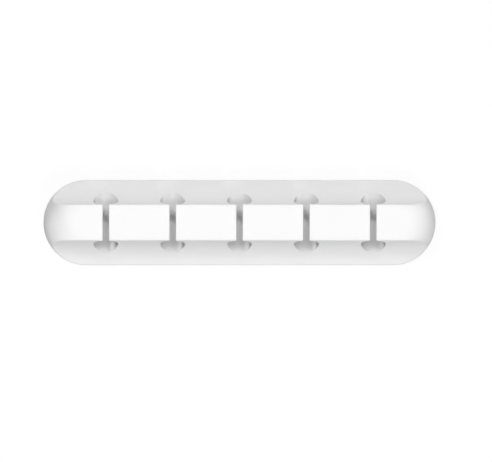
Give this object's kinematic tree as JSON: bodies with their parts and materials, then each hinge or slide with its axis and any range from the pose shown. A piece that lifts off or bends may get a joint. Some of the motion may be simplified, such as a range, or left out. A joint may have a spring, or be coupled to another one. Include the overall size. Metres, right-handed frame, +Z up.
{
  "type": "cable clip",
  "caption": "Low silicone desk bar with rounded noses, a flat top, flared sides and a row of keyhole channels that cables push into, stuck down by a foam pad.",
  "frame": {"origin": "centre of the underside of the adhesive pad, where the clip meets the desk", "axes": "+X along the bar, +Y along the cable channels, +Z up out of the entry slots"},
  "size_m": [0.129, 0.028, 0.0138],
  "materials": {
    "silicone": "satin",
    "foam": "matte"
  },
  "bodies": {
    "root": {"clip_body": "silicone", "adhesive_pad": "foam"}
  },
  "joints": []
}
